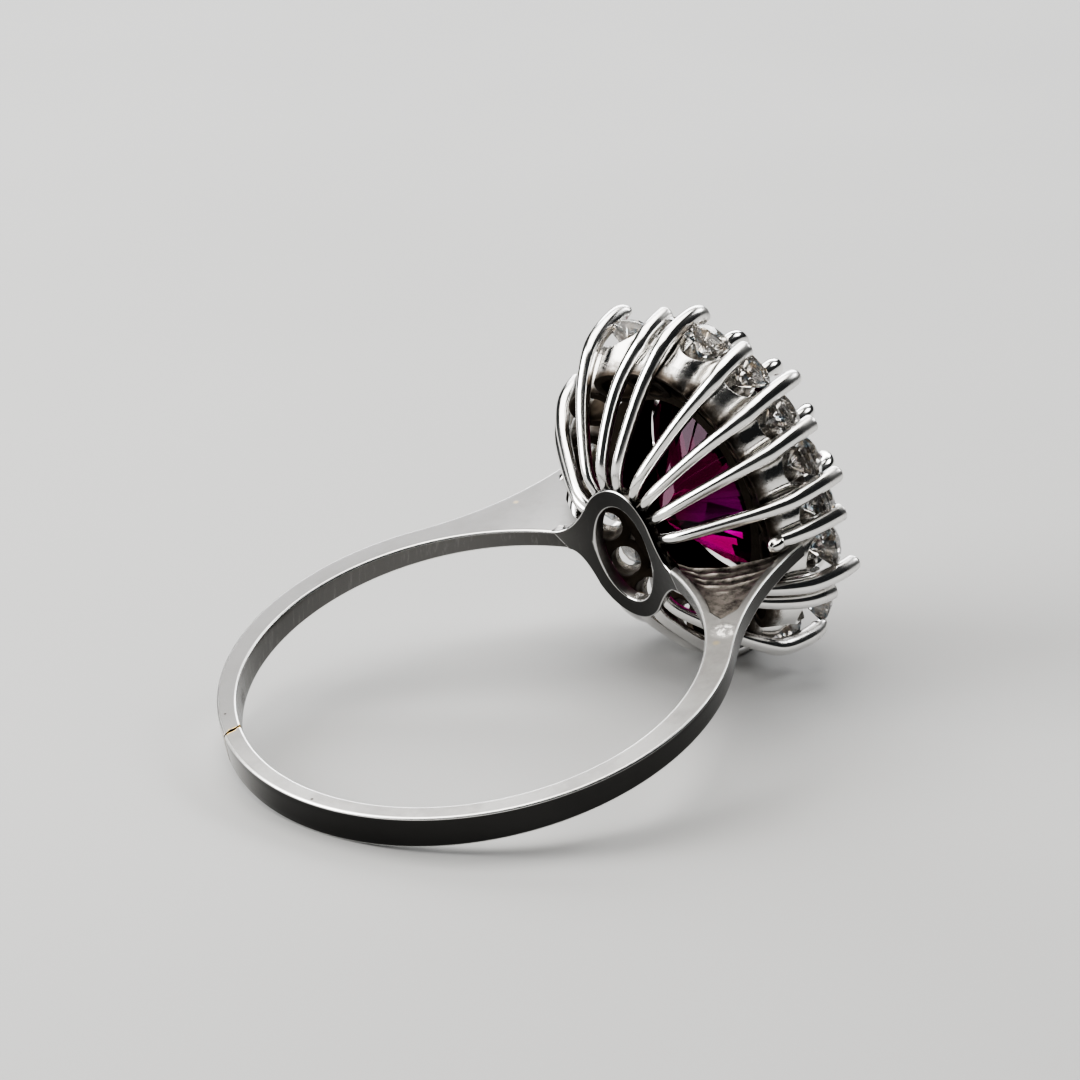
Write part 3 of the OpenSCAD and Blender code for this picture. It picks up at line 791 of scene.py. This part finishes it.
# The ruby: one oval stone with a table, faceted and polished, and held by the inner claws. Its lower
# half is painted dark red as shade, with a painted magenta glint there, and its crown is a clearer red.
glint_middle, glint_radius = (12.6, -1.9, -1.0), 2.6
ruby_index = 1.77


def ruby_stone():
    """Painted shade makes it dark red below the girdle, with a painted magenta glint in cloudy patches
    there, and it is a clearer red above it. A reddish reflection keeps the lamps from showing white in it."""
    material, shader, place = new_material("ruby")
    clouds = noise(place, 260, 2.0, 0.5)
    silk = noise(place, 1600, 4.0, 0.6, (1, 4, 1))
    # Painted glint: cloudy magenta patches on the lower half.
    painted_glint = spot(place, glint_middle, glint_radius, 0.8) * between(place, 0.3, 0.6, clouds)
    colour = blend(place, painted_glint, (0.02, 0.0, 0.006, 1), (0.07, 0.0, 0.11, 1))
    # Painted shade: dark below the girdle, and a clearer red above it.
    crown = between(place, 0.0, 0.1, from_plane(place, (ruby_x, 0, head_shift), (1, 0, 0)))
    colour = blend(place, crown, colour, (0.38, 0.006, 0.12, 1))
    join(colour, shader.inputs["Base Color"])
    join(0.02 + silk * 0.03, shader.inputs["Roughness"])
    shader.inputs["IOR"].default_value = ruby_index
    shader.inputs["Specular Tint"].default_value = (0.3, 0.2, 0.26, 1)
    shader.inputs["Transmission Weight"].default_value = 1.0
    return material


def dress_stone(name, material):
    """Gives a stone's own mesh its material in place of the plain one."""
    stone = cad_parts[name]
    stone.data.materials.clear()
    stone.data.materials.append(material)


dress_stone("ruby", ruby_stone())


# The diamonds: eighteen round stones with tables and a frosted girdle, each set in its collet and held
# by the ends of the claws beside it. They are clear, with greyish depths.
diamond_index, diamond_clear, diamond_patches = 2.3, 0.9, 4200.0


def diamond_stone():
    """Angular patches of faint brown, grey and white, as a cut stone throws back its surroundings,
    with a few blue and orange flashes among them."""
    material, shader, place = new_material("diamond")
    cells = place.node("ShaderNodeTexVoronoi", {"distance": "MANHATTAN"},
                       {"Vector": place, "Scale": diamond_patches, "Randomness": 1.0}, out=1)
    tone = cells.node("ShaderNodeSeparateColor", {}, {0: cells})
    hue = cells.node("ShaderNodeSeparateColor", {}, {0: cells}, out=1)
    colour = tone.node("ShaderNodeValToRGB", {"stops": [
        (0.0, (0.72, 0.65, 0.57, 1)), (0.5, (0.92, 0.89, 0.85, 1)), (0.8, (1.0, 1.0, 1.0, 1))]}, {0: tone})
    colour = blend(place, between(place, 0.9, 0.92, hue) * 0.6, colour, (0.35, 0.7, 1.0, 1))
    colour = blend(place, (1 - between(place, 0.1, 0.12, hue)) * 0.6, colour, (1.0, 0.7, 0.38, 1))
    join(colour, shader.inputs["Base Color"])
    join(noise(place, 900, 2.0) * 0.03, shader.inputs["Roughness"])
    shader.inputs["IOR"].default_value = diamond_index
    shader.inputs["Transmission Weight"].default_value = diamond_clear
    return material


diamond_material = diamond_stone()
for number in range(1, 2 * len(DIAMOND_SPOTS) + 1):
    dress_stone("diamond_%02d" % number, diamond_material)


# The table: a plain pale floor under the ring, one flat sheet that reaches past the picture's edges.
# It isn't part of the ring.
floor_half = 0.6
floor_mesh = bpy.data.meshes.new("floor")
floor_mesh.from_pydata([(-floor_half, -floor_half, 0), (floor_half, -floor_half, 0),
                        (floor_half, floor_half, 0), (-floor_half, floor_half, 0)], [], [(0, 1, 2, 3)])
floor_material, floor_shader, floor_place = new_material("pale table")
shade = blend(floor_place, noise(floor_place, 30, 2.0), (0.42, 0.42, 0.415, 1), (0.46, 0.46, 0.455, 1))
join(shade, floor_shader.inputs["Base Color"])
floor_shader.inputs["Roughness"].default_value = 0.9
floor_shader.inputs["Specular IOR Level"].default_value = 0.1
floor_mesh.materials.append(floor_material)
floor = bpy.data.objects.new("floor", floor_mesh)
bpy.context.scene.collection.objects.link(floor)


# Soft studio light: a large lamp over the head, a strip behind, one from the left that is the
# brightest, and a small weak one from the right. All are turned toward the ring.
lamp_target = Vector((0, 0, 0.007))
# Name, place, width, height, power, colour.
LIGHTS = [
    ("over", (-0.03, 0.05, 0.20), 0.24, 0.2, 0.55, (1, 0.98, 0.95)),
    ("back", (0.15, 0.13, 0.12), 0.20, 0.1, 0.34, (0.97, 0.98, 1)),
    ("left", (-0.17, 0.12, 0.10), 0.18, 0.16, 0.62, (1, 1, 1)),
    ("right", (0.15, -0.07, 0.15), 0.08, 0.08, 0.12, (1, 1, 1))]
for name, place, width, height, power, colour in LIGHTS:
    lamp = bpy.data.lights.new(name, "AREA")
    lamp.shape = "RECTANGLE"
    lamp.size = width
    lamp.size_y = height
    lamp.energy = power
    lamp.color = colour
    holder = bpy.data.objects.new(name, lamp)
    holder.location = place
    holder.rotation_euler = (lamp_target - Vector(place)).to_track_quat("-Z", "Y").to_euler()
    bpy.context.scene.collection.objects.link(holder)
world = bpy.data.worlds.new("studio")
world.use_nodes = True
backdrop = world.node_tree.nodes["Background"]
backdrop.inputs["Color"].default_value = (0.8, 0.85, 0.9, 1)
backdrop.inputs["Strength"].default_value = 0.03
bpy.context.scene.world = world

# Deep shadows and clear highlights suit the polished metal.
bpy.context.scene.view_settings.view_transform = "AgX"
bpy.context.scene.view_settings.look = "AgX - High Contrast"
bpy.context.scene.view_settings.exposure = 0.0

# The camera stands where the photograph was taken from, with a long lens, so the ring has its place
# and size in the picture.
camera = bpy.data.objects.new("camera", bpy.data.cameras.new("camera"))
camera.data.sensor_width = 36
camera.data.lens = 144.52
camera.data.clip_start = 0.01
camera.location = (-0.108199, -0.100028, 0.061814)
camera.rotation_euler = Euler(np.radians([69.686, 0.173, -47.263]).tolist())
bpy.context.scene.collection.objects.link(camera)
bpy.context.scene.camera = camera
